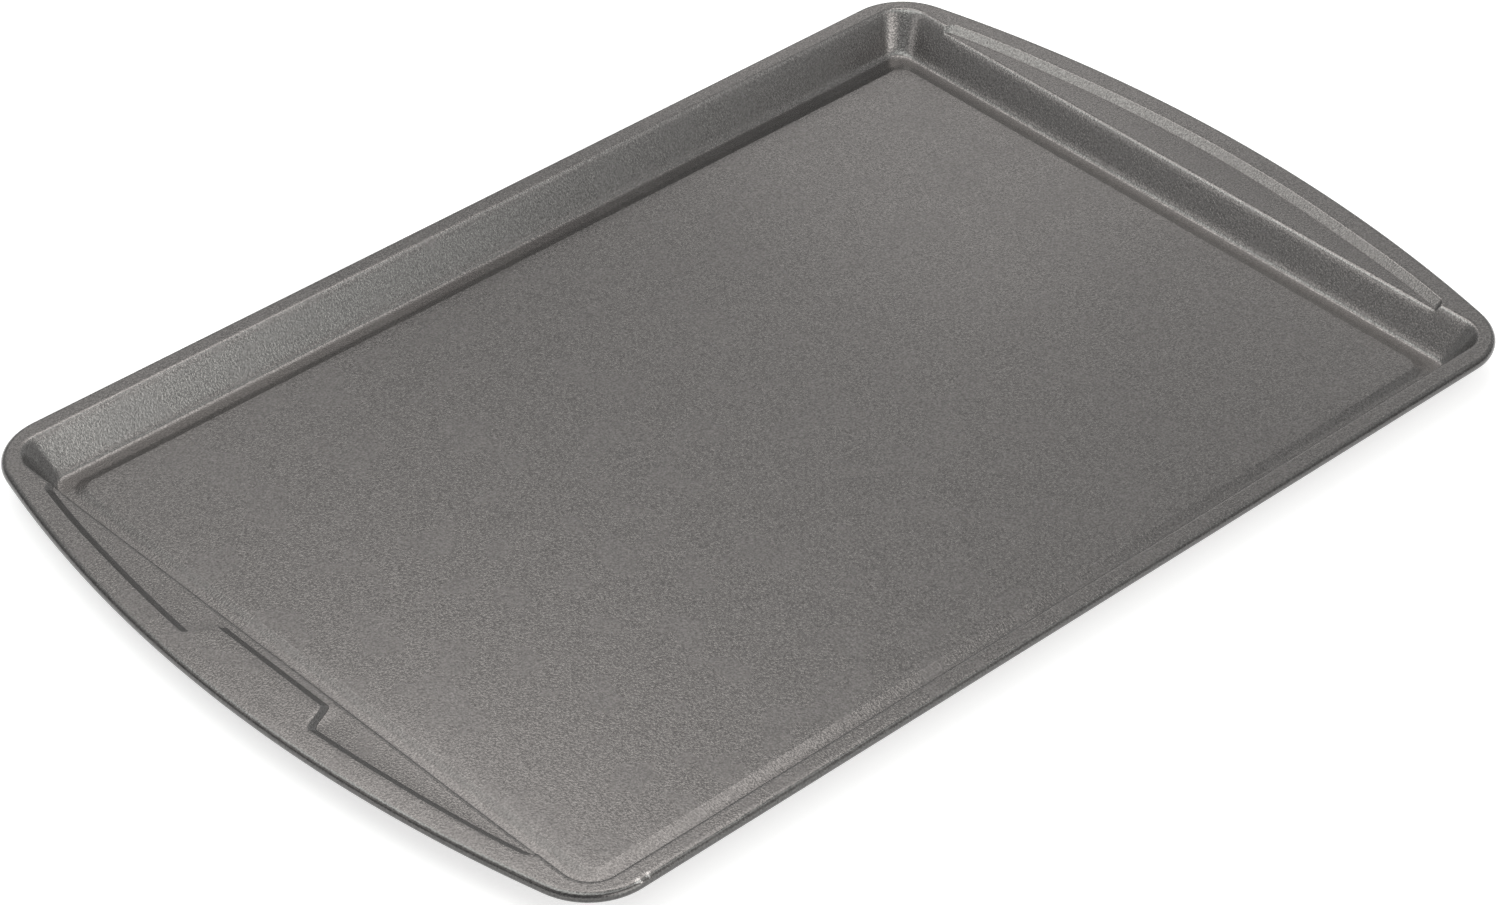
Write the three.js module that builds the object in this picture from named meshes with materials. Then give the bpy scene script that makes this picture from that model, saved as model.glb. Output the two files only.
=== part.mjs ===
// A pressed steel baking sheet: a raised flat floor with a gutter all round it, leaning walls, a flat
// flange that widens into a bowed handle at each end, and a rim rolled round a stiffening wire.
// Millimetres, +Z up. X runs along the sheet, and Z = 0 is the underside of the gutter, on which it stands.
import * as THREE from 'three';

// The sheet and the raised floor
const SHEET = 0.6;
const FLOOR_LENGTH = 353.6;
const FLOOR_WIDTH = 233;
const FLOOR_CORNER = 4.8;
const FLOOR_RISE = 1.15;

// The gutter round the floor: its sloped inner side, then its flat bottom along the sides and the ends
const RISER_RUN = 3.7;
const RISER_CORNER = 5.8;
const SIDE_GUTTER = 6.3;
const END_GUTTER = 5.8;

// The walls, from the gutter up to the flange
const WALL_HEIGHT = 13.95;
const WALL_LEAN = THREE.MathUtils.degToRad(23);
const WALL_FOOT_CORNER = 7;
const WALL_TOP_CORNER = 10;

// The flange, measured from the top of the wall to the middle of the rolled rim
const SIDE_FLANGE = 5.2;
const END_FLANGE = 7.6;
const HANDLE_BOW = 14.3;
const RIM_CORNER = 20.7;

// The rolled rim and the wire inside it
const ROLL_RADIUS = 1.9;
const ROLL_GAP = 0.8;
const WIRE_CLEARANCE = 0.3;

// The crescent ledge pressed into each handle, and the tab that reaches into one of them
const LEDGE_DROP = 2.1;
const STEP_RUN = 3.2;
const HANDLE_STRIP = 8.2;
const TAB_WIDTH = 52.6;
const TAB_BLEND = 8;
const TAB_SHELF = 4.6;

// Bend radii on the upper face of the sheet
const FLOOR_EDGE_RADIUS = 2;
const RISER_FOOT_RADIUS = 2;
const WALL_FOOT_RADIUS = 1.2;
const WALL_TOP_RADIUS = 1.4;
const STEP_RADIUS = 1;

// How finely each stretch is divided
const SMALL_BEND_STEPS = 2;
const WALL_TOP_STEPS = 3;
const LEDGE_FOOT_STEPS = 1;
const ROLL_STEPS = 9;
const WIRE_SIDES = 8;
const CORNER_STEPS = 6;
const SIDE_STEPS = 4;

const UP = new THREE.Vector3(0, 0, 1);
const LEAN = Math.tan(WALL_LEAN);
const GUTTER_Z = SHEET;
const FLOOR_Z = GUTTER_Z + FLOOR_RISE;
const FLANGE_Z = GUTTER_Z + WALL_HEIGHT;
const LEDGE_Z = FLANGE_Z - LEDGE_DROP;
const ROLL_Z = FLANGE_Z - ROLL_RADIUS;

// A ring is a rounded rectangle. Its ends are straight, or arcs of the radius bow.
function straightRing(halfLength, halfWidth, corner) {
  return { halfLength, halfWidth, corner, bow: 0, bowAngle: 0, cornerX: halfLength - corner };
}

// The bow passes through the end's middle and through a point level with the corner's centre.
function bowedRing(halfLength, halfWidth, corner, depth) {
  const halfChord = halfWidth - corner;
  const bow = (halfChord ** 2 + depth ** 2) / (2 * depth);
  const bowAngle = Math.asin(halfChord / (bow - corner));
  const cornerX = halfLength - bow + (bow - corner) * Math.cos(bowAngle);
  return { halfLength, halfWidth, corner, bow, bowAngle, cornerX };
}

// A place on a ring: on an end at -1 to 1 along it, on a corner at 0 to 1 round it, or on a long side.
// The outward direction comes with it.
function placeOnRing(ring, station, z) {
  const { kind, signX, signY, along } = station;
  const cornerY = ring.halfWidth - ring.corner;
  if (kind === 'side') {
    return {
      point: new THREE.Vector3(along * ring.cornerX, signY * ring.halfWidth, z),
      outward: new THREE.Vector3(0, signY, 0),
    };
  }
  if (kind === 'corner') {
    const angle = THREE.MathUtils.lerp(ring.bowAngle, Math.PI / 2, along);
    const outward = new THREE.Vector3(signX * Math.cos(angle), signY * Math.sin(angle), 0);
    const centre = new THREE.Vector3(signX * ring.cornerX, signY * cornerY, z);
    return { point: centre.addScaledVector(outward, ring.corner), outward };
  }
  const angle = along * ring.bowAngle;
  const outward = new THREE.Vector3(signX * Math.cos(angle), Math.sin(angle), 0);
  if (ring.bow === 0) {
    return { point: new THREE.Vector3(signX * ring.halfLength, along * cornerY, z), outward };
  }
  const centre = new THREE.Vector3(signX * (ring.halfLength - ring.bow), 0, z);
  return { point: centre.addScaledVector(outward, ring.bow), outward };
}

const floorRing = straightRing(FLOOR_LENGTH / 2, FLOOR_WIDTH / 2, FLOOR_CORNER);
const riserRing = straightRing(
  floorRing.halfLength + RISER_RUN,
  floorRing.halfWidth + RISER_RUN,
  RISER_CORNER,
);

// The wall leans out as it rises, and its corners open a little.
function wallRing(z) {
  const rise = z - GUTTER_Z;
  return straightRing(
    riserRing.halfLength + END_GUTTER + rise * LEAN,
    riserRing.halfWidth + SIDE_GUTTER + rise * LEAN,
    THREE.MathUtils.lerp(WALL_FOOT_CORNER, WALL_TOP_CORNER, rise / WALL_HEIGHT),
  );
}

const wallFoot = wallRing(GUTTER_Z);
const wallTop = wallRing(FLANGE_Z);
const ledgeEdge = wallRing(LEDGE_Z).halfLength;
const rimRing = bowedRing(
  wallTop.halfLength + END_FLANGE + HANDLE_BOW,
  wallTop.halfWidth + SIDE_FLANGE,
  RIM_CORNER,
  HANDLE_BOW,
);
const endReach = wallTop.halfWidth - wallTop.corner;

// The step between ledge and flange runs concentric with the handle's bow, one strip inside the rim.
const stepRadius = rimRing.bow - HANDLE_STRIP;
const stepCentre = rimRing.halfLength - rimRing.bow;

function stepMiddle(signX, y) {
  const arc = stepCentre + Math.sqrt(stepRadius ** 2 - y ** 2);
  if (signX > 0) {
    return arc;
  }
  const tabEnd = (TAB_WIDTH + TAB_BLEND) / 2;
  const inTab = THREE.MathUtils.smoothstep(tabEnd - Math.abs(y), 0, TAB_BLEND);
  return THREE.MathUtils.lerp(arc, ledgeEdge + TAB_SHELF, inTab);
}

// How far along the end the step's middle line reaches a given distance from the centre
function stepReach(x) {
  return Math.sqrt(Math.max(stepRadius ** 2 - (x - stepCentre) ** 2, 0));
}

// The side of a stretch of sheet that faces down or outwards
function below(direction) {
  return direction.clone().multiplyScalar(direction.z).sub(UP).normalize();
}

// The straight lead from one point towards another
function heading(from, to) {
  return to.clone().sub(from).normalize();
}

// How much of each neighbouring stretch a bend takes up
function bendRoom(before, corner, after, radius) {
  const turn = heading(before, corner).angleTo(heading(corner, after));
  return radius * Math.tan(turn / 2);
}

// A rounded bend. Every entry is a point on the upper face and the point below it on the lower face.
function bend(before, corner, after, radius, steps) {
  const into = heading(before, corner);
  const out = heading(corner, after);
  const turn = into.angleTo(out);
  const inward = out.clone().sub(into).normalize();
  const centre = corner.clone().addScaledVector(inward, radius / Math.cos(turn / 2));
  const start = corner.clone().addScaledVector(into, -radius * Math.tan(turn / 2));
  const spoke = start.sub(centre).normalize();
  const lowerRadius = inward.z < 0 ? radius - SHEET : radius + SHEET;
  return Array.from({ length: steps + 1 }, (unused, step) => {
    const angle = (turn * step) / steps;
    const ray = spoke.clone().multiplyScalar(Math.cos(angle)).addScaledVector(into, Math.sin(angle));
    return {
      upper: centre.clone().addScaledVector(ray, radius),
      lower: centre.clone().addScaledVector(ray, lowerRadius),
    };
  });
}

// Evenly spaced places on a straight stretch, without its two ends
function stretch(from, to, count) {
  const under = below(heading(from, to));
  return Array.from({ length: count }, (unused, index) => {
    const upper = from.clone().lerp(to, (index + 1) / (count + 1));
    return { upper, lower: upper.clone().addScaledVector(under, SHEET) };
  });
}

// From the wall's foot to the rim at one station: wall, ledge, step and flange where the crescent lies,
// wall, step and flange at the crescent's tips, and wall and flange everywhere else.
function wallAndFlange(station, foot, rimTop) {
  const stepCount = LEDGE_FOOT_STEPS + 1;
  const edgeCount = SMALL_BEND_STEPS + 1;
  const plainTop = placeOnRing(wallTop, station, FLANGE_Z).point;
  const plain = () => {
    const top = bend(foot, plainTop, rimTop, WALL_TOP_RADIUS, WALL_TOP_STEPS);
    const topEnd = top.at(-1).upper;
    const settled = topEnd.clone().addScaledVector(heading(topEnd, rimTop), STEP_RUN / 2);
    return [...top, ...stretch(topEnd, settled, stepCount + edgeCount)];
  };
  if (station.kind !== 'end') {
    return plain();
  }
  const { signX } = station;
  const { y } = plainTop;
  const middle = stepMiddle(signX, y);
  const ledgeStart = new THREE.Vector3(signX * ledgeEdge, y, LEDGE_Z);
  const stepFoot = new THREE.Vector3(signX * (middle - STEP_RUN / 2), y, LEDGE_Z);
  const stepHead = new THREE.Vector3(signX * (middle + STEP_RUN / 2), y, FLANGE_Z);
  const ledgeWidth = signX * (stepFoot.x - ledgeStart.x);
  const bendWidth = WALL_TOP_RADIUS * Math.tan((Math.PI / 2 - WALL_LEAN) / 2);
  const footWidth = STEP_RADIUS * Math.tan(Math.atan2(LEDGE_DROP, STEP_RUN) / 2);
  if (ledgeWidth > bendWidth + footWidth) {
    return [
      ...bend(foot, ledgeStart, stepFoot, WALL_TOP_RADIUS, WALL_TOP_STEPS),
      ...bend(ledgeStart, stepFoot, stepHead, STEP_RADIUS, LEDGE_FOOT_STEPS),
      ...bend(stepFoot, stepHead, rimTop, STEP_RADIUS, SMALL_BEND_STEPS),
    ];
  }
  const meetRise = Math.max(0, -ledgeWidth / (STEP_RUN / LEDGE_DROP - LEAN));
  const meetX = signX * (ledgeEdge + meetRise * LEAN);
  const meet = new THREE.Vector3(meetX, y, LEDGE_Z + meetRise);
  if (meetRise >= LEDGE_DROP) {
    return plain();
  }
  const meetRoom = bendRoom(foot, meet, stepHead, WALL_TOP_RADIUS);
  const headRoom = bendRoom(meet, stepHead, rimTop, STEP_RADIUS);
  if (meet.distanceTo(stepHead) < meetRoom + headRoom) {
    return plain();
  }
  const meetBend = bend(foot, meet, stepHead, WALL_TOP_RADIUS, WALL_TOP_STEPS);
  const headBend = bend(meet, stepHead, rimTop, STEP_RADIUS, SMALL_BEND_STEPS);
  return [...meetBend, ...stretch(meetBend.at(-1).upper, headBend[0].upper, stepCount), ...headBend];
}

// The rim rolls outwards, down and back under the flange, and stops short of it.
function roll(centre, outward) {
  const endRise = Math.asin((ROLL_RADIUS - SHEET - ROLL_GAP) / ROLL_RADIUS);
  const sweep = 1.5 * Math.PI + endRise;
  return Array.from({ length: ROLL_STEPS + 1 }, (unused, step) => {
    const angle = Math.PI / 2 - (sweep * step) / ROLL_STEPS;
    const ray = outward.clone().multiplyScalar(Math.cos(angle)).addScaledVector(UP, Math.sin(angle));
    return {
      upper: centre.clone().addScaledVector(ray, ROLL_RADIUS),
      lower: centre.clone().addScaledVector(ray, ROLL_RADIUS - SHEET),
    };
  });
}

// The whole sheet at one station, from the edge of the raised floor to the end of the roll
function sheetProfile(station) {
  const edge = placeOnRing(floorRing, station, FLOOR_Z).point;
  const riserFoot = placeOnRing(riserRing, station, GUTTER_Z).point;
  const foot = placeOnRing(wallFoot, station, GUTTER_Z).point;
  const rim = placeOnRing(rimRing, station, ROLL_Z);
  const rimTop = rim.point.clone().setZ(FLANGE_Z);
  const inside = edge.clone().multiplyScalar(2).sub(riserFoot).setZ(FLOOR_Z);
  const upright = wallAndFlange(station, foot, rimTop);
  return [
    ...bend(inside, edge, riserFoot, FLOOR_EDGE_RADIUS, SMALL_BEND_STEPS),
    ...bend(edge, riserFoot, foot, RISER_FOOT_RADIUS, SMALL_BEND_STEPS),
    ...bend(riserFoot, foot, upright[0].upper, WALL_FOOT_RADIUS, SMALL_BEND_STEPS),
    ...upright,
    ...roll(rim.point, rim.outward),
  ];
}

// Places along one half of an end, from its middle to its corner, closest where the shape turns
function halfEnd(signX) {
  const runOut = stepReach(ledgeEdge + STEP_RUN / 2);
  const vanish = stepReach(wallTop.halfLength - STEP_RUN / 2);
  const tabFlat = (TAB_WIDTH - TAB_BLEND) / 2;
  const tabEnd = (TAB_WIDTH + TAB_BLEND) / 2;
  const approach = runOut - 2 * STEP_RUN;
  const tips = [[approach, runOut, 3], [runOut, vanish, 4], [vanish, endReach, 1]];
  const spans = signX > 0
    ? [[0, approach, 7], ...tips]
    : [[0, tabFlat, 2], [tabFlat, tabEnd, 6], [tabEnd, approach, 5], ...tips];
  return spans.flatMap(([from, to, steps]) =>
    Array.from({ length: steps }, (unused, step) => THREE.MathUtils.lerp(from, to, step / steps) / endReach));
}

// One end from its corner on the left, seen from outside, to the other
function endStations(signX) {
  const half = halfEnd(signX);
  const turn = [...half.slice(1).reverse().map((along) => -along), ...half];
  return turn.map((along) => ({ kind: 'end', signX, signY: 1, along: signX * along }));
}

function cornerStations(signX, signY) {
  const steps = Array.from({ length: CORNER_STEPS + 1 }, (unused, step) => step / CORNER_STEPS);
  const turn = signX * signY > 0 ? steps : steps.reverse();
  return turn.map((along) => ({ kind: 'corner', signX, signY, along }));
}

function sideStations(signY) {
  return Array.from({ length: SIDE_STEPS - 1 }, (unused, step) => {
    const along = signY * (1 - (2 * (step + 1)) / SIDE_STEPS);
    return { kind: 'side', signX: 1, signY, along };
  });
}

// All stations, anticlockwise seen from above
const stations = [
  ...endStations(1),
  ...cornerStations(1, 1),
  ...sideStations(1),
  ...cornerStations(-1, 1),
  ...endStations(-1),
  ...cornerStations(-1, -1),
  ...sideStations(-1),
  ...cornerStations(1, -1),
];

function geometryFrom(points, triangles) {
  const geometry = new THREE.BufferGeometry().setFromPoints(points);
  geometry.setIndex(triangles.flat());
  geometry.computeVertexNormals();
  return geometry;
}

// The sheet: one profile at every station, joined all the way round and closed by the floor's two faces
function panShell() {
  const profiles = stations.map((station) => {
    const places = sheetProfile(station);
    const upper = places.map((place) => place.upper);
    const lower = places.map((place) => place.lower);
    return [...upper, ...lower.reverse()];
  });
  const size = profiles[0].length;
  const points = profiles.flat();
  const floorTop = points.push(new THREE.Vector3(0, 0, FLOOR_Z)) - 1;
  const floorUnder = points.push(new THREE.Vector3(0, 0, FLOOR_Z - SHEET)) - 1;
  const triangles = [];
  stations.forEach((station, index) => {
    const here = index * size;
    const next = ((index + 1) % stations.length) * size;
    for (let place = 0; place < size - 1; place += 1) {
      triangles.push([here + place, here + place + 1, next + place + 1]);
      triangles.push([here + place, next + place + 1, next + place]);
    }
    triangles.push([floorTop, here, next]);
    triangles.push([floorUnder, next + size - 1, here + size - 1]);
  });
  return geometryFrom(points, triangles);
}

// The wire: a round section carried along the middle of the roll
function rimWire() {
  const radius = ROLL_RADIUS - SHEET - WIRE_CLEARANCE;
  const points = stations.flatMap((station) => {
    const { point, outward } = placeOnRing(rimRing, station, ROLL_Z);
    return Array.from({ length: WIRE_SIDES }, (unused, side) => {
      const angle = (2 * Math.PI * side) / WIRE_SIDES;
      const ray = outward.clone().multiplyScalar(Math.cos(angle)).addScaledVector(UP, Math.sin(angle));
      return point.clone().addScaledVector(ray, radius);
    });
  });
  const triangles = [];
  stations.forEach((station, index) => {
    const here = index * WIRE_SIDES;
    const next = ((index + 1) % stations.length) * WIRE_SIDES;
    for (let side = 0; side < WIRE_SIDES; side += 1) {
      const after = (side + 1) % WIRE_SIDES;
      triangles.push([here + side, next + side, next + after]);
      triangles.push([here + side, next + after, here + after]);
    }
  });
  return geometryFrom(points, triangles);
}

const coatedSteel = new THREE.MeshStandardMaterial({ color: 0x736e6b, roughness: 0.5, metalness: 0.4 });
const wireSteel = new THREE.MeshStandardMaterial({ color: 0x9a9c9e, roughness: 0.35, metalness: 1 });

function part(name, geometry, material) {
  const mesh = new THREE.Mesh(geometry, material);
  mesh.name = name;
  return mesh;
}

const sheetPan = new THREE.Group();
sheetPan.add(part('pan_shell', panShell(), coatedSteel));
sheetPan.add(part('rim_wire', rimWire(), wireSteel));

export default sheetPan;
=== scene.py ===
# %% [markdown]
# # A sheet pan, pressed from one blank
# The real object is a baking sheet: one flat blank of steel, pressed into a raised floor, a gutter, leaning
# walls and two bowed handles, with its edge rolled round a wire and the whole coated in a satin grey.
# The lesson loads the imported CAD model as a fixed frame, presses a finer sheet over it in the same way that
# the press works, from the floor outwards, and then gives it the coating, the light and the camera.

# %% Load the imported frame
import math

import bmesh
import bpy
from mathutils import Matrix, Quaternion, Vector


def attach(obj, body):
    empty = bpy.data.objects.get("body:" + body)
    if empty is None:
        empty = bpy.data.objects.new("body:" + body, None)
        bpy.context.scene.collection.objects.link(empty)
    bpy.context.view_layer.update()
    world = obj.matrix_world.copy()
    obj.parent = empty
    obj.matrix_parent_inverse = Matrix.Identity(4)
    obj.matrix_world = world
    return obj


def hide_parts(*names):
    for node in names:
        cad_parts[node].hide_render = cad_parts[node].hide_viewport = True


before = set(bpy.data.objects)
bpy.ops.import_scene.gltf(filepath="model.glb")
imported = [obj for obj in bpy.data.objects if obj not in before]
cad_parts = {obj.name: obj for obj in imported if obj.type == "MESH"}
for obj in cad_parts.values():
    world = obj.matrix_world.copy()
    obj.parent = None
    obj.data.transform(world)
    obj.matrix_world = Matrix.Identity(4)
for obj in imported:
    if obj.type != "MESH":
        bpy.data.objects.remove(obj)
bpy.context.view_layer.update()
print("CAD nodes:", sorted(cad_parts))

# %% [markdown]
# ## The raised floor
# The floor of the pan is a flat rectangle with small round corners. A plane with bevelled corners is all
# it takes. Sizes are in millimetres, as on a drawing, and the mesh is scaled to metres once at the end.

# %% Cut the blank of the floor
FLOOR_HALF_LENGTH = 177.4
FLOOR_HALF_WIDTH = 117.1
FLOOR_CORNER = 4.8
CORNER_STEPS = 14

sheet = bmesh.new()
bmesh.ops.create_grid(sheet, x_segments=1, y_segments=1, size=1)
bmesh.ops.scale(sheet, vec=(FLOOR_HALF_LENGTH, FLOOR_HALF_WIDTH, 1), verts=sheet.verts)
bmesh.ops.bevel(
    sheet,
    geom=sheet.verts[:],
    offset=FLOOR_CORNER,
    offset_type="OFFSET",
    segments=CORNER_STEPS,
    profile=0.5,
    affect="VERTICES",
    material=-1,
)
print("floor blank:", len(sheet.verts), "points round it,", len(sheet.faces), "face")

# %% [markdown]
# ## Cut lines
# The press bends the sheet most where the crescents in the handles run out and where the tab curves. The
# blank is cut there into narrow strips, and into wide ones elsewhere. Cutting the flat blank with planes is
# easier than adding loops to a finished shape, and it leaves the floor as tidy quads.

# %% Where the cuts go
WALL_TOP_REACH = 122.24
FLOOR_REACH = FLOOR_HALF_WIDTH - FLOOR_CORNER
SIDE_REACH = FLOOR_HALF_LENGTH - FLOOR_CORNER
SIDE_STRIPS = 32

# Each span runs from one place to another, with its number of strips.
TAB_SPANS = [(0, 22, 5), (22, 31, 14), (31, 103, 15)]
TIP_SPANS = [(103, 108, 4), (108, 114, 14), (114, WALL_TOP_REACH, 5)]


def divided(start, end, count):
    return [start + (end - start) * step / count for step in range(1, count + 1)]


half_cuts = [place for span in TAB_SPANS + TIP_SPANS for place in divided(*span)]
across_cuts = sorted([0] + half_cuts + [-place for place in half_cuts])
floor_cuts_y = [place / WALL_TOP_REACH * FLOOR_REACH for place in across_cuts]
floor_cuts_x = [-SIDE_REACH] + divided(-SIDE_REACH, SIDE_REACH, SIDE_STRIPS)
print("cuts across the ends:", len(floor_cuts_y), " cuts along the sides:", len(floor_cuts_x))

# %% Cut the blank
ON_LINE = 0.001


def cut(place, across):
    everything = sheet.verts[:] + sheet.edges[:] + sheet.faces[:]
    bmesh.ops.bisect_plane(sheet, geom=everything, dist=ON_LINE, plane_co=across * place, plane_no=across)


for place in floor_cuts_y:
    cut(place, Vector((0, 1, 0)))
for place in floor_cuts_x:
    cut(place, Vector((1, 0, 0)))
print("cut blank:", len(sheet.faces), "faces")

# %% [markdown]
# ## Stations
# Every point on the edge of the blank is a station: it sits on an end, on a long side or on a corner, and
# the sheet is drawn outwards from it. A number kept in a layer on the points lets each new ring know its
# stations, because extruding copies the layer. Two more layers wait until later: painted shade under the
# rolled rim, and the tone of the folds, which is wear and a painted highlight on raised folds and painted
# shade in sharp creases.

# %% Number the stations
def station_at(point):
    sign_x = math.copysign(1, point.x)
    sign_y = math.copysign(1, point.y)
    past_x = abs(point.x) - SIDE_REACH
    past_y = abs(point.y) - FLOOR_REACH
    if past_y <= ON_LINE:
        return "end", sign_x, sign_y, point.y / FLOOR_REACH
    if past_x <= ON_LINE:
        return "side", sign_x, sign_y, point.x / SIDE_REACH
    return "corner", sign_x, sign_y, math.atan2(past_y, past_x) / (math.pi / 2)


# Layer for painted shade on the outside and underside of the rolled rim.
sheet.verts.layers.float.new("rolled_rim_shade")
# Layer for the fold tone: wear and a painted highlight on raised folds, painted shade in sharp creases.
sheet.verts.layers.float.new("fold_wear_and_shade")
station_layer = sheet.verts.layers.int.new("station")
edge_points = [point for point in sheet.verts if point.is_boundary]
stations = []
for point in edge_points:
    point[station_layer] = len(stations)
    stations.append(station_at(point.co))
kinds = [station[0] for station in stations]
print("stations:", {kind: kinds.count(kind) for kind in ("end", "side", "corner")})

# %% [markdown]
# ## The lines of the press
# Seen from above, the pan is a set of rounded rectangles, one inside the other: the floor's edge, the foot
# of its slope, the foot of the wall and the top of the wall. The rim has bowed ends instead of straight
# ones. A place on any of these lines is found from the station alone.

# %% Rounded rectangles
def on_rectangle(station, half_length, half_width, corner, z):
    kind, sign_x, sign_y, along = station
    corner_x = half_length - corner
    corner_y = half_width - corner
    if kind == "side":
        return Vector((along * corner_x, sign_y * half_width, z))
    if kind == "end":
        return Vector((sign_x * half_length, along * corner_y, z))
    angle = along * math.pi / 2
    x = sign_x * (corner_x + corner * math.cos(angle))
    y = sign_y * (corner_y + corner * math.sin(angle))
    return Vector((x, y, z))


# The gutter's line lies a little below the sheet, because the soft fold at its end cuts the corner.
GUTTER_Z = 0.481
WALL_HEIGHT = 14.069
FLANGE_Z = GUTTER_Z + WALL_HEIGHT
SIDE_SLOPE = math.tan(math.radians(25.3))
END_SLOPE = math.tan(math.radians(29))
WALL_FOOT_HALF_LENGTH = 184.65
WALL_FOOT_HALF_WIDTH = 125.65
WALL_FOOT_CORNER = 7
WALL_TOP_CORNER = 10


def on_wall(station, z):
    rise = z - GUTTER_Z
    half_length = WALL_FOOT_HALF_LENGTH + rise * END_SLOPE
    half_width = WALL_FOOT_HALF_WIDTH + rise * SIDE_SLOPE
    corner = WALL_FOOT_CORNER + (WALL_TOP_CORNER - WALL_FOOT_CORNER) * rise / WALL_HEIGHT
    return on_rectangle(station, half_length, half_width, corner, z)


print("wall top on the side:", on_wall(("side", 1, 1, 0), FLANGE_Z))

# %% The bowed rim
RIM_HALF_LENGTH = 214.12
RIM_HALF_WIDTH = 137.62
RIM_CORNER = 20.7
HANDLE_BOW = 14.3

rim_corner_y = RIM_HALF_WIDTH - RIM_CORNER
bow_radius = (rim_corner_y**2 + HANDLE_BOW**2) / (2 * HANDLE_BOW)
bow_centre = RIM_HALF_LENGTH - bow_radius
bow_angle = math.asin(rim_corner_y / (bow_radius - RIM_CORNER))
rim_corner_x = bow_centre + (bow_radius - RIM_CORNER) * math.cos(bow_angle)


def on_rim(station, z):
    kind, sign_x, sign_y, along = station
    if kind == "side":
        return Vector((along * rim_corner_x, sign_y * RIM_HALF_WIDTH, z)), Vector((0, sign_y, 0))
    if kind == "end":
        angle = along * bow_angle
        outward = Vector((sign_x * math.cos(angle), math.sin(angle), 0))
        return Vector((sign_x * bow_centre, 0, z)) + outward * bow_radius, outward
    angle = bow_angle + (math.pi / 2 - bow_angle) * along
    outward = Vector((sign_x * math.cos(angle), sign_y * math.sin(angle), 0))
    return Vector((sign_x * rim_corner_x, sign_y * rim_corner_y, z)) + outward * RIM_CORNER, outward


print("bow radius of the handles:", round(bow_radius, 1), "mm")

# %% [markdown]
# ## Bends
# Pressed sheet has no sharp corners. A tight fold is an arc that starts on one flat and ends on the next. A
# wide one, where the sheet flows over the tool, eases in and out, so it is a soft curve pulled towards
# the corner. Drawing the bend itself, and not bevelling afterwards, keeps the same number of points on
# every station, so that the rings join without triangles.

# %% A rounded fold and a straight run
def heading(start, end):
    return (end - start).normalized()


def fold(before, corner, after, radius, steps):
    into = heading(before, corner)
    out = heading(corner, after)
    turn = into.angle(out)
    inward = (out - into).normalized()
    centre = corner + inward * (radius / math.cos(turn / 2))
    spoke = heading(centre, corner - into * (radius * math.tan(turn / 2)))
    angles = [turn * step / steps for step in range(steps + 1)]
    return [centre + (spoke * math.cos(angle) + into * math.sin(angle)) * radius for angle in angles]


def run(start, end, count):
    return [start.lerp(end, (step + 1) / (count + 1)) for step in range(count)]


right_angle = fold(Vector((0, 0, 0)), Vector((1, 0, 0)), Vector((1, 0, 1)), 0.5, 4)
print("a fold of 90 degrees:", [tuple(round(value, 2) for value in point) for point in right_angle])

# %% A soft fold
def soft_point(start, corner, end, share):
    rest = 1 - share
    return start * rest**3 + corner * (3 * share * rest) + end * share**3


def soft_fold(before, corner, after, reach_in, reach_out, steps):
    start = corner - heading(before, corner) * reach_in
    end = corner + heading(corner, after) * reach_out
    return [soft_point(start, corner, end, step / steps) for step in range(steps + 1)]


def smooth_blend(value):
    value = min(max(value, 0), 1)
    return value * value * (3 - 2 * value)


print("a smooth blend in four steps:", [smooth_blend(step / 4) for step in range(5)])

# %% [markdown]
# ## The handles
# Each handle has a crescent sunk into it, a ledge that runs out to a point at both ends, with a sloped step
# up to the flange. On one handle a tab of flange reaches back into the crescent with two reverse curves.
# The middle line of the step is concentric with the bow, flares a little and hooks in at the points, and a
# smooth blend carries it round the tab.

# %% The middle line of the step
LEDGE_DROP = 2.15
LEDGE_Z = FLANGE_Z - LEDGE_DROP
STEP_RUN = 3
HANDLE_STRIP = 8.2
TAB_WIDTH = 52.6
TAB_BLEND = 6
TAB_SHELF = 4.6
TIP_FLARE = 1
TIP_START = 109.5
TIP_LENGTH = 4
TIP_HOOK = 4.5

ledge_edge = on_wall(("end", 1, 1, 0), LEDGE_Z).x
step_radius = bow_radius - HANDLE_STRIP


def step_middle(sign_x, y):
    arc = bow_centre + math.sqrt(step_radius**2 - y**2)
    arc += TIP_FLARE * smooth_blend((abs(y) - TIP_START / 2) / (TIP_START / 2))
    arc -= TIP_HOOK * smooth_blend((abs(y) - TIP_START) / TIP_LENGTH)
    if sign_x > 0:
        return arc
    in_tab = smooth_blend(((TAB_WIDTH + TAB_BLEND) / 2 - abs(y)) / TAB_BLEND)
    return arc + (ledge_edge + TAB_SHELF - arc) * in_tab


print("step from the centre, plain handle:", round(step_middle(1, 0), 1))
print("step from the centre, at the tab:", round(step_middle(-1, 0), 1))

# %% [markdown]
# ## Over the shoulder
# Along the sides the wall turns straight over into the flange. On a handle it first turns over into the sunk
# ledge and then climbs the step, and at the crescent's points the ledge is gone and the step rises from the
# wall itself. All three kinds of line get the same number of points, so that a ring runs through all.

# %% Three kinds of shoulder
WALL_REACH = 5
FLANGE_REACH = 1.7
STEP_RADIUS = 0.8
FOLD_SHARE = 0.4
WALL_TOP_STEPS = 11
STEP_FOLD_STEPS = 4


def step_fold(before, corner, after, room):
    turn = heading(before, corner).angle(heading(corner, after))
    radius = min(STEP_RADIUS, FOLD_SHARE * room / math.tan(turn / 2))
    return fold(before, corner, after, radius, STEP_FOLD_STEPS)


def plain_shoulder(foot, wall_top, rim_top):
    top = soft_fold(foot, wall_top, rim_top, WALL_REACH, FLANGE_REACH, WALL_TOP_STEPS)
    settled = top[-1] + heading(top[-1], rim_top) * (STEP_RUN / 2)
    return top + run(top[-1], settled, 2 * STEP_FOLD_STEPS + 2)


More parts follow.
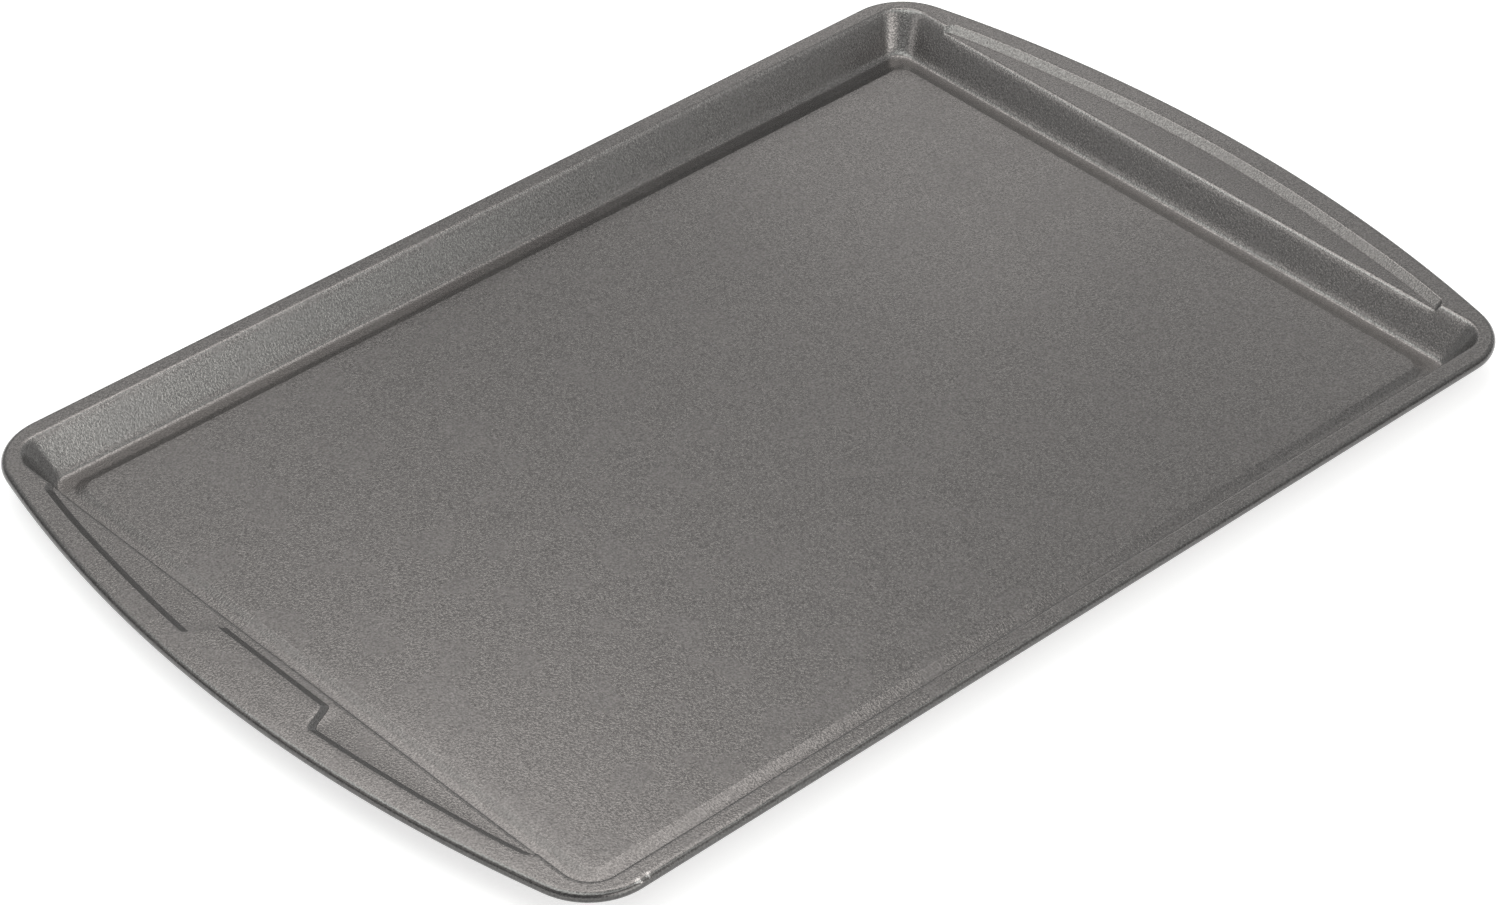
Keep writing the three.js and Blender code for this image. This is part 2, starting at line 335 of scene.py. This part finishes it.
def ledge_shoulder(foot, ledge_start, step_foot, step_head, rim_top):
    width = (step_foot - ledge_start).length
    reach = min(FLANGE_REACH, width / 2)
    top = soft_fold(foot, ledge_start, step_foot, WALL_REACH, reach, WALL_TOP_STEPS)
    rise = step_fold(ledge_start, step_foot, step_head, width)
    return top + rise + step_fold(step_foot, step_head, rim_top, STEP_RUN)


def tip_shoulder(foot, meet, step_head, rim_top):
    length = (step_head - meet).length
    reach = min(FLANGE_REACH, length / 2)
    top = soft_fold(foot, meet, step_head, WALL_REACH, reach, WALL_TOP_STEPS)
    head = step_fold(meet, step_head, rim_top, length)
    return top + run(top[-1], head[0], STEP_FOLD_STEPS + 1) + head


print("points over a step fold:", STEP_FOLD_STEPS + 1, " over the wall's top:", WALL_TOP_STEPS + 1)

# %% The shoulder at any station
LEAST_LEDGE = 0.1
LEAST_STEP = 0.05
TIP_FADE = 1.5


def shoulder(station, foot, rim_top):
    kind, sign_x, sign_y, along = station
    wall_top = on_wall(station, FLANGE_Z)
    plain = plain_shoulder(foot, wall_top, rim_top)
    if kind != "end":
        return plain
    y = wall_top.y
    middle = step_middle(sign_x, y)
    ledge_start = Vector((sign_x * ledge_edge, y, LEDGE_Z))
    step_foot = Vector((sign_x * (middle - STEP_RUN / 2), y, LEDGE_Z))
    step_head = Vector((sign_x * (middle + STEP_RUN / 2), y, FLANGE_Z))
    width = sign_x * (step_foot.x - ledge_start.x)
    if width > LEAST_LEDGE:
        return ledge_shoulder(foot, ledge_start, step_foot, step_head, rim_top)
    rise = max(0, -width / (STEP_RUN / LEDGE_DROP - END_SLOPE))
    if rise > LEDGE_DROP - LEAST_STEP:
        return plain
    meet = ledge_start + Vector((sign_x * rise * END_SLOPE, 0, rise))
    tip = tip_shoulder(foot, meet, step_head, rim_top)
    share = smooth_blend((step_head - meet).length / TIP_FADE)
    return [before.lerp(after, share) for before, after in zip(plain, tip)]


tip = ("end", 1, 1, TIP_START / WALL_TOP_REACH)
tip_line = shoulder(tip, on_wall(tip, GUTTER_Z), on_rim(tip, FLANGE_Z)[0])
print("points over a shoulder:", len(tip_line))

# %% [markdown]
# ## The rolled rim
# The edge of the sheet is curled outwards, down and back under the flange until it nearly closes. The curl
# is an arc of about 285 degrees, and it is what gives the rim its round bead and its lines of light.

# %% The curl
SHEET = 0.6
ROLL_RADIUS = 1.9
ROLL_GAP = 0.8
ROLL_STEPS = 28

roll_z = FLANGE_Z - ROLL_RADIUS
roll_sweep = 1.5 * math.pi + math.asin((ROLL_RADIUS - SHEET - ROLL_GAP) / ROLL_RADIUS)


def curl(centre, outward):
    up = Vector((0, 0, 1))
    angles = [math.pi / 2 - roll_sweep * step / ROLL_STEPS for step in range(ROLL_STEPS + 1)]
    return [centre + (outward * math.cos(angle) + up * math.sin(angle)) * ROLL_RADIUS for angle in angles]


print("the rim is curled through", round(math.degrees(roll_sweep)), "degrees")

# %% [markdown]
# ## The whole line
# From the floor outwards the sheet drops down a short riser, falls a little across the gutter, climbs the
# wall, goes over the shoulder and ends in the curl. Strung together, these are one line for each station.

# %% The whole sheet at one station
GUTTER_FALL = 0.35
RISER_HEIGHT = 0.8
RISER_RUN = 3
RISER_FOOT_CORNER = 5.8
FLOOR_EDGE_RADIUS = 0.9
RISER_FOOT_RADIUS = 5
GUTTER_REACH = 3.2
RISER_STEPS = 4
GUTTER_RUNS = 2
WALL_FOOT_STEPS = 11
WALL_RUNS = 3
FLANGE_RUNS = 3

riser_foot_z = GUTTER_Z + GUTTER_FALL
floor_z = riser_foot_z + RISER_HEIGHT
FLOOR_EDGE = (FLOOR_HALF_LENGTH, FLOOR_HALF_WIDTH, FLOOR_CORNER)
RISER_FOOT = (FLOOR_HALF_LENGTH + RISER_RUN, FLOOR_HALF_WIDTH + RISER_RUN, RISER_FOOT_CORNER)


def pressed_line(station):
    floor_edge = on_rectangle(station, *FLOOR_EDGE, floor_z)
    riser_foot = on_rectangle(station, *RISER_FOOT, riser_foot_z)
    foot = on_wall(station, GUTTER_Z)
    rim, outward = on_rim(station, roll_z)
    rim_top = Vector((rim.x, rim.y, FLANGE_Z))
    inside = floor_edge * 2 - riser_foot
    inside.z = floor_z
    upright = shoulder(station, foot, rim_top)
    line = fold(inside, floor_edge, riser_foot, FLOOR_EDGE_RADIUS, RISER_STEPS)
    line += fold(floor_edge, riser_foot, foot, RISER_FOOT_RADIUS, RISER_STEPS)
    wall_foot = soft_fold(riser_foot, foot, upright[0], GUTTER_REACH, WALL_REACH, WALL_FOOT_STEPS)
    line += run(line[-1], wall_foot[0], GUTTER_RUNS) + wall_foot
    line += run(line[-1], upright[0], WALL_RUNS) + upright
    line += run(line[-1], rim_top, FLANGE_RUNS)
    return line + curl(rim, outward)


pressed_lines = [pressed_line(station) for station in stations]
print("points on each pressed line:", {len(line) for line in pressed_lines})

# %% [markdown]
# ## Wear, painted highlights and painted shade on the folds
# A pan is scoured on its raised folds, most of all on steep ones, so these are made paler, and part of that
# paleness is a painted highlight along the fold. Sharp hollows are made darker with painted shade in the
# crease.
# The bend of each line tells them apart, so the tone is worked out point by point, from -1 for painted crease
# shade to 1 for a bare, highlit fold. It rides on the points as a layer, and the coating reads it later.

# %% Where the coating wears, where folds get painted highlights and where creases get painted shade
WORN_AND_HIGHLIT_BEND = 0.5
CREASE_SHADE_BEND = 1
GENTLE_SLOPE = 0.2
STEEP_SLOPE = 0.6
SHORT_WAY = 0.1
LEVEL_WAY = 0.001


def fold_wear_and_shade_share(before, point, after):
    into = point - before
    out = after - point
    bend = into.normalized().angle(out.normalized(), 0) / max(into.length + out.length, SHORT_WAY) * 2
    slope = abs(into.z + out.z) / max((into.xy + out.xy).length, LEVEL_WAY)
    hollow = out.z * into.xy.length > into.z * out.xy.length
    # Sharp hollows get painted shade: a darker tone where shade falls in the crease.
    if hollow:
        return -smooth_blend((bend - CREASE_SHADE_BEND / 2) / CREASE_SHADE_BEND)
    # Raised folds get paler: partly wear, partly a painted highlight along the fold.
    steep = smooth_blend((slope - GENTLE_SLOPE) / (STEEP_SLOPE - GENTLE_SLOPE))
    sharp = smooth_blend((bend - WORN_AND_HIGHLIT_BEND) / WORN_AND_HIGHLIT_BEND) / 2
    return min(bend / WORN_AND_HIGHLIT_BEND, 1) * max(steep, sharp)


def fold_wear_and_shade_line(line):
    return [0] + [fold_wear_and_shade_share(*line[ring - 1 : ring + 2]) for ring in range(1, len(line) - 1)] + [0]


fold_wear_and_shade_lines = [fold_wear_and_shade_line(line) for line in pressed_lines]
all_fold_tones = [fold_tone for line in fold_wear_and_shade_lines for fold_tone in line]
# The fold tone runs from painted crease shade at -1 to a worn, highlit fold at 1.
print("worn from", round(min(all_fold_tones), 2), "to", round(max(all_fold_tones), 2))

# %% [markdown]
# ## Press the sheet
# Now the blank is drawn outwards ring by ring: the open edge is extruded, and each new point is set on its
# station's line. Extruding an edge loop is the plain way to grow a sheet, and every face comes out a quad.
# The finished sheet is given its thickness in one go, and the layers go with it.

# %% Draw the sheet outwards
rim_shade_layer = sheet.verts.layers.float["rolled_rim_shade"]
fold_tone_layer = sheet.verts.layers.float["fold_wear_and_shade"]
rings = len(pressed_lines[0])
first_roll_ring = rings - ROLL_STEPS - 1
bmesh.ops.translate(sheet, vec=(0, 0, floor_z), verts=sheet.verts)
for point in edge_points:
    point.co = pressed_lines[point[station_layer]][0]
edge = [item for item in sheet.edges if item.is_boundary]
for ring in range(1, rings):
    drawn = bmesh.ops.extrude_edge_only(sheet, edges=edge)["geom"]
    edge = [item for item in drawn if isinstance(item, bmesh.types.BMEdge) and item.is_boundary]
    for point in [item for item in drawn if isinstance(item, bmesh.types.BMVert)]:
        station = point[station_layer]
        point.co = pressed_lines[station][ring]
        # Share along the curl, which later drives the painted shade under the rim.
        point[rim_shade_layer] = max(0, ring - first_roll_ring) / ROLL_STEPS
        # Each point takes its fold tone: wear and a painted highlight on folds, painted shade in creases.
        point[fold_tone_layer] = fold_wear_and_shade_lines[station][ring]
print("drawn sheet:", len(sheet.faces), "faces")

# %% Turn its faces up
bmesh.ops.recalc_face_normals(sheet, faces=sheet.faces)
floor_face = min(sheet.faces, key=lambda face: face.calc_center_median().length)
if floor_face.normal.z < 0:
    bmesh.ops.reverse_faces(sheet, faces=sheet.faces)
print("the floor faces", round(floor_face.normal.z))

# %% Give the sheet its thickness
MILLIMETRE = 0.001
bmesh.ops.solidify(sheet, geom=sheet.faces[:], thickness=SHEET)
bmesh.ops.scale(sheet, vec=(MILLIMETRE, MILLIMETRE, MILLIMETRE), verts=sheet.verts)
heights = [point.co.z / MILLIMETRE for point in sheet.verts]
print("sheet with thickness:", len(sheet.faces), "faces")
print("it reaches from", round(min(heights), 3), "to", round(max(heights), 3), "mm")

# %% Make the pan an object
SHARP_EDGE = math.radians(50)
for face in sheet.faces:
    face.smooth = True
for item in sheet.edges:
    item.smooth = len(item.link_faces) == 2 and item.calc_face_angle() < SHARP_EDGE
pan_mesh = bpy.data.meshes.new("pressed_pan")
sheet.to_mesh(pan_mesh)
sheet.free()
pan = bpy.data.objects.new("pressed_pan", pan_mesh)
bpy.context.scene.collection.objects.link(pan)
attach(pan, "root")
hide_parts("pan_shell")
pan_mesh.calc_loop_triangles()
print("pressed pan:", len(pan_mesh.loop_triangles), "triangles")

# %% [markdown]
# ## The coating
# The pan is coated with a satin grey non-stick film full of fine metal flakes. It is half way between paint
# and metal: it has hardly any colour of its own, and its tone comes from soft reflections. A principled
# shader with a high metallic value and a thin coat gives that, and noise at the size of the flakes gives
# the speckle. The two layers on the points then make raised folds paler, partly wear and partly a painted
# highlight. They darken sharp creases with painted shade, and they darken the underside of the rim with
# painted shade.

# %% Helpers for wiring a material
def new_material(name):
    material = bpy.data.materials.new(name)
    material.use_nodes = True
    return material, material.node_tree.nodes, material.node_tree.links


def add_node(nodes, kind, **settings):
    node = nodes.new(kind)
    for name, value in settings.items():
        setattr(node, name, value)
    return node


def noise(nodes, links, place, scale, detail, roughness):
    node = add_node(nodes, "ShaderNodeTexNoise")
    node.inputs["Scale"].default_value = scale
    node.inputs["Detail"].default_value = detail
    node.inputs["Roughness"].default_value = roughness
    links.new(place.outputs["Object"], node.inputs["Vector"])
    return node.outputs["Fac"]


def spread(nodes, links, value, low, high, to_low, to_high):
    node = add_node(nodes, "ShaderNodeMapRange")
    links.new(value, node.inputs["Value"])
    node.inputs["From Min"].default_value = low
    node.inputs["From Max"].default_value = high
    node.inputs["To Min"].default_value = to_low
    node.inputs["To Max"].default_value = to_high
    return node.outputs["Result"]


def sum_of(nodes, links, first, second, clamped=False):
    node = add_node(nodes, "ShaderNodeMath", operation="ADD", use_clamp=clamped)
    links.new(first, node.inputs[0])
    links.new(second, node.inputs[1])
    return node.outputs[0]


print("helpers: new_material, add_node, noise, spread, sum_of")

# %% The satin coating
FLAKE_SCALE = 1600
DARK_FLAKE = (0.142, 0.138, 0.135, 1)
PALE_FLAKE = (0.302, 0.295, 0.288, 1)

coating, nodes, links = new_material("satin_coating")
place = add_node(nodes, "ShaderNodeTexCoord")
shader = nodes["Principled BSDF"]
shader.inputs["Metallic"].default_value = 0.95
shader.inputs["Coat Weight"].default_value = 0.5
shader.inputs["Coat Roughness"].default_value = 0.12

flakes = noise(nodes, links, place, FLAKE_SCALE, 1, 0.5)
tone = add_node(nodes, "ShaderNodeValToRGB")
tone.color_ramp.elements[0].position = 0.25
tone.color_ramp.elements[0].color = DARK_FLAKE
tone.color_ramp.elements[1].position = 0.75
tone.color_ramp.elements[1].color = PALE_FLAKE
links.new(flakes, tone.inputs["Fac"])
print("flakes about", round(1000 / FLAKE_SCALE, 1), "mm across")

# %% Worn, highlit folds, painted crease shade and painted shade under the rim
# Creases darken to the first tone as painted shade; raised folds brighten to the second, partly wear and
# partly a painted highlight.
CREASE_SHADE_TONE = 0.55
BARE_AND_HIGHLIT_TONE = 1.45
# Painted shade: the outside and underside of the curl darken to this share of the tone.
RIM_PAINTED_SHADE = 0.3
SHADE_START = 0.05
SHADE_FULL = 0.16

fold_tone_attribute = add_node(nodes, "ShaderNodeAttribute", attribute_name="fold_wear_and_shade")
fold_tone = spread(nodes, links, fold_tone_attribute.outputs["Fac"], -1, 1, CREASE_SHADE_TONE, BARE_AND_HIGHLIT_TONE)
rim = add_node(nodes, "ShaderNodeAttribute", attribute_name="rolled_rim_shade")
# Painted shade under the rolled rim, rising along the curl.
rim_painted_shade = spread(nodes, links, rim.outputs["Fac"], SHADE_START, SHADE_FULL, 1, RIM_PAINTED_SHADE)
strength = add_node(nodes, "ShaderNodeMath", operation="MULTIPLY")
links.new(fold_tone, strength.inputs[0])
links.new(rim_painted_shade, strength.inputs[1])
shaded = add_node(nodes, "ShaderNodeVectorMath", operation="SCALE")
links.new(tone.outputs["Color"], shaded.inputs[0])
links.new(strength.outputs[0], shaded.inputs["Scale"])
finish = shaded.outputs["Vector"]
# Raised folds brighten by this factor, partly from wear and partly from a painted highlight.
print("worn folds are", BARE_AND_HIGHLIT_TONE, "times as bright as the rest")

# %% [markdown]
# ## Chips
# On the near corner the coating has two small chips, where bare steel shows. A chip is the inside of a small
# ball set on the rim: the distance from its middle, roughened by the flakes, decides where steel shows.

# %% Chips in the coating
CHIPS = [((-0.1757, -0.1381, 0.0145), 0.001), ((-0.1794, -0.1384, 0.0145), 0.0011)]
CHIP_CORE = 0.7
BARE_STEEL = (0.55, 0.54, 0.53, 1)

for spot, size in CHIPS:
    away = add_node(nodes, "ShaderNodeVectorMath", operation="DISTANCE")
    links.new(place.outputs["Object"], away.inputs[0])
    away.inputs[1].default_value = spot
    rough = spread(nodes, links, flakes, 0.3, 0.7, -size / 2, size / 2)
    ragged = sum_of(nodes, links, away.outputs["Value"], rough)
    chip = add_node(nodes, "ShaderNodeMix", data_type="RGBA")
    links.new(spread(nodes, links, ragged, size * CHIP_CORE, size, 1, 0), chip.inputs["Factor"])
    links.new(finish, chip.inputs["A"])
    chip.inputs["B"].default_value = BARE_STEEL
    finish = chip.outputs["Result"]
links.new(finish, shader.inputs["Base Color"])
print("chips:", len(CHIPS))

# %% [markdown]
# ## Gloss and grain
# The film is sprayed on, so its gloss drifts in patches as wide as a thumb, and the flakes stand a little
# proud of it. Slow noise moves the roughness, and the noise of the flakes also drives a very shallow bump.

# %% Its gloss and grain
PATCH_SCALE = 60
GLOSSY = 0.24
MATT = 0.29
GRAIN_HEIGHT = 0.0001

patches = noise(nodes, links, place, PATCH_SCALE, 3, 0.5)
links.new(spread(nodes, links, patches, 0.3, 0.7, GLOSSY, MATT), shader.inputs["Roughness"])

grain = add_node(nodes, "ShaderNodeBump")
grain.inputs["Strength"].default_value = 0.9
grain.inputs["Distance"].default_value = GRAIN_HEIGHT
links.new(flakes, grain.inputs["Height"])
links.new(grain.outputs["Normal"], shader.inputs["Normal"])
pan.data.materials.append(coating)
print("coating:", len(nodes), "nodes")

# %% [markdown]
# ## The wire in the rim
# A steel wire lies inside the curl. It shows only in the gap under the rim, so the CAD node stays as it is
# and gets a drawn-steel finish, with faint changes of tone and gloss along the wire.

# %% The drawn wire
DARK_WIRE = (0.30, 0.30, 0.31, 1)
PALE_WIRE = (0.46, 0.46, 0.47, 1)
WIRE_TONE_SCALE = 300
WIRE_GLOSS_SCALE = 900

drawn_steel, nodes, links = new_material("drawn_steel")
place = add_node(nodes, "ShaderNodeTexCoord")
shader = nodes["Principled BSDF"]
shader.inputs["Metallic"].default_value = 1
tone = add_node(nodes, "ShaderNodeValToRGB")
tone.color_ramp.elements[0].color = DARK_WIRE
tone.color_ramp.elements[1].color = PALE_WIRE
links.new(noise(nodes, links, place, WIRE_TONE_SCALE, 3, 0.6), tone.inputs["Fac"])
links.new(tone.outputs["Color"], shader.inputs["Base Color"])
gloss = noise(nodes, links, place, WIRE_GLOSS_SCALE, 2, 0.5)
links.new(spread(nodes, links, gloss, 0.3, 0.7, 0.3, 0.45), shader.inputs["Roughness"])
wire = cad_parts["rim_wire"]
for material_slot in wire.material_slots:
    material_slot.material = drawn_steel
print("wire finish on", len(wire.material_slots), "slot")

# %% [markdown]
# ## The table
# The pan was pictured on white. The table gives part of its white to the camera and to reflections directly,
# so that it stays white, and keeps a share of ordinary paint that takes the shadow.

# %% The white table
TABLE_REACH = 12
TABLE_GLOW = 0.6
TABLE_PAINT = (0.8, 0.8, 0.8, 1)

table_shape = bmesh.new()
bmesh.ops.create_grid(table_shape, x_segments=1, y_segments=1, size=TABLE_REACH)
table_mesh = bpy.data.meshes.new("white_table")
table_shape.to_mesh(table_mesh)
table_shape.free()
table = bpy.data.objects.new("white_table", table_mesh)
bpy.context.scene.collection.objects.link(table)
print("table:", TABLE_REACH * 2, "m across")

# %% Its paint and its glow
white, nodes, links = new_material("white_table")
paint = nodes["Principled BSDF"]
paint.inputs["Base Color"].default_value = TABLE_PAINT
paint.inputs["Roughness"].default_value = 0.9
paint.inputs["Specular IOR Level"].default_value = 0
rays = add_node(nodes, "ShaderNodeLightPath")
seen = sum_of(nodes, links, rays.outputs["Is Camera Ray"], rays.outputs["Is Glossy Ray"])
seen = sum_of(nodes, links, seen, rays.outputs["Is Transmission Ray"], clamped=True)
share = add_node(nodes, "ShaderNodeMath", operation="MULTIPLY")
share.inputs[1].default_value = TABLE_GLOW
links.new(seen, share.inputs[0])
glow = add_node(nodes, "ShaderNodeEmission")
links.new(share.outputs[0], glow.inputs["Strength"])
mix = add_node(nodes, "ShaderNodeAddShader")
links.new(paint.outputs["BSDF"], mix.inputs[0])
links.new(glow.outputs["Emission"], mix.inputs[1])
links.new(mix.outputs["Shader"], nodes["Material Output"].inputs["Surface"])
table.data.materials.append(white)
print("table glow:", TABLE_GLOW)

# %% [markdown]
# ## The lamps
# Satin metal shows the lamps more than it shows its own colour, so each patch of light on the pan says where
# a soft box stood. Seven boxes hang above the table and five stand round it. A box is given by how bright
# it looks, not by its power, so that it can be made wider without looking brighter.

# %% Helpers for the lamps
LAMP_HEIGHT = 1.2
LAMP_DISTANCE = 1.5


def soft_lamp(name, place, target, width, depth, brightness, colour):
    light = bpy.data.lights.new(name, "AREA")
    light.shape = "RECTANGLE"
    light.size = width
    light.size_y = depth
    light.energy = brightness * math.pi * width * depth
    light.color = colour
    lamp = bpy.data.objects.new(name, light)
    lamp.location = place
    lamp.rotation_mode = "QUATERNION"
    lamp.rotation_quaternion = (Vector(target) - Vector(place)).to_track_quat("-Z", "Y")
    bpy.context.scene.collection.objects.link(lamp)
    return lamp


def round_the_table(degrees, height):
    angle = math.radians(degrees)
    return Vector((LAMP_DISTANCE * math.cos(angle), LAMP_DISTANCE * math.sin(angle), height))


def lamp_above(name, x, y, width, depth, brightness, colour):
    return soft_lamp(name, (x, y, LAMP_HEIGHT), (x, y, 0), width, depth, brightness, colour)


def lamp_beside(name, degrees, height, width, depth, brightness, colour):
    place = round_the_table(degrees, height)
    return soft_lamp(name, place, (0, 0, height), width, depth, brightness, colour)


print("lamps hang", LAMP_HEIGHT, "m above the table or stand", LAMP_DISTANCE, "m from its middle")

# %% The soft lamps
WARM = (1.05, 0.99, 0.96)
COOL = (0.99, 1.02, 0.99)

lamp_above("overhead_strip", 0.45, 0.42, 0.5, 1.25, 1.54, WARM)
lamp_above("overhead_wide", -0.6, 0.2, 0.8, 1.6, 1.37, COOL)
lamp_above("overhead_middle", 0, 0.6, 0.4, 0.8, 0.87, WARM)
lamp_above("overhead_front", 0.2, -0.8, 1.6, 0.4, 1.27, COOL)
lamp_above("overhead_far", 1.65, 1.5, 0.7, 0.8, 0.78, WARM)
lamp_above("overhead_right", 1.75, 0.75, 0.6, 0.6, 0.42, WARM)
lamp_above("overhead_left", 0.6, 1.65, 0.7, 0.6, 0.44, WARM)
lamp_beside("left_panel", 157, 0.88, 1.3, 0.35, 1.06, WARM)
lamp_beside("front_panel_high", 280, 0.88, 1.95, 0.35, 0.88, WARM)
lamp_beside("front_panel_middle", 267, 0.53, 1.3, 0.35, 2.3, WARM)
lamp_beside("front_panel_low", 273, 0.18, 0.8, 0.35, 2.95, COOL)
lamp_beside("right_panel_low", 298, 0.18, 0.4, 0.35, 0.75, COOL)

# %% [markdown]
# ## A dark card and a dim room
# The folds on the near side lean away and mirror what stands low behind the pan. A photographer puts a dark
# card there, so that the folds show as thin dark lines. The card is hidden from the camera and throws no
# shadow, because only its reflection is wanted. The room is white at the horizon, where it meets the
# table, and dim above, so that the lamps stand out in the metal.

# %% The dark card
CARD_HEIGHT = 0.32
CARD_EDGES = [35, 88]
CARD_COLOUR = (0.04, 0.04, 0.04, 1)
CARD_GLOW = 0.2

card_shape = bmesh.new()
card_foot = [card_shape.verts.new(round_the_table(degrees, 0)) for degrees in CARD_EDGES]
card_head = [card_shape.verts.new(round_the_table(degrees, CARD_HEIGHT)) for degrees in reversed(CARD_EDGES)]
card_shape.faces.new(card_foot + card_head)
card_mesh = bpy.data.meshes.new("dark_card")
card_shape.to_mesh(card_mesh)
card_shape.free()
card = bpy.data.objects.new("dark_card", card_mesh)
bpy.context.scene.collection.objects.link(card)
card.visible_camera = False
card.visible_diffuse = False
card.visible_shadow = False
print("card:", CARD_HEIGHT, "m high")

# %% Its felt
felt, nodes, links = new_material("dark_felt")
shader = nodes["Principled BSDF"]
shader.inputs["Base Color"].default_value = CARD_COLOUR
shader.inputs["Roughness"].default_value = 0.9
shader.inputs["Specular IOR Level"].default_value = 0
shader.inputs["Emission Color"].default_value = (1, 1, 1, 1)
shader.inputs["Emission Strength"].default_value = CARD_GLOW
card.data.materials.append(felt)
print("card glow:", CARD_GLOW)

# %% The dim room
HORIZON_BAND = 0.1
ROOM_STRENGTH = 0.37

room = bpy.data.worlds.new("room")
room.use_nodes = True
nodes = room.node_tree.nodes
links = room.node_tree.links
direction = add_node(nodes, "ShaderNodeTexCoord")
axes = add_node(nodes, "ShaderNodeSeparateXYZ")
links.new(direction.outputs["Generated"], axes.inputs["Vector"])
fade = add_node(nodes, "ShaderNodeMapRange", interpolation_type="SMOOTHSTEP")
fade.inputs["From Min"].default_value = 0
fade.inputs["From Max"].default_value = HORIZON_BAND
fade.inputs["To Min"].default_value = 1
fade.inputs["To Max"].default_value = ROOM_STRENGTH
links.new(axes.outputs["Z"], fade.inputs["Value"])
links.new(fade.outputs["Result"], nodes["Background"].inputs["Strength"])
nodes["Background"].inputs["Color"].default_value = (1, 1, 1, 1)
bpy.context.scene.world = room
print("room: white at the horizon and", ROOM_STRENGTH, "above")

# %% [markdown]
# ## The camera
# The photograph was taken with a long lens, from above one corner and a little turned. The numbers were
# worked out from the outline of the pan and the edges of its floor.

# %% Set up the camera
CAMERA_PLACE = Vector((-0.81221, -0.82655, 0.88203))
CAMERA_AIM = Vector((-0.01193, -0.00614, 0))
CAMERA_ROLL = math.radians(1.43)
SENSOR_WIDTH = 36
FOCAL_LENGTH = 111.64

lens = bpy.data.cameras.new("camera")
lens.sensor_width = SENSOR_WIDTH
lens.sensor_fit = "HORIZONTAL"
lens.lens = FOCAL_LENGTH
camera = bpy.data.objects.new("camera", lens)
camera.location = CAMERA_PLACE
camera.rotation_mode = "QUATERNION"
level = (CAMERA_AIM - CAMERA_PLACE).to_track_quat("-Z", "Y")
camera.rotation_quaternion = level @ Quaternion((0, 0, 1), CAMERA_ROLL)
bpy.context.scene.collection.objects.link(camera)
bpy.context.scene.camera = camera
bpy.context.scene.view_settings.view_transform = "Standard"
print("camera", round((CAMERA_AIM - CAMERA_PLACE).length, 2), "m from the pan")
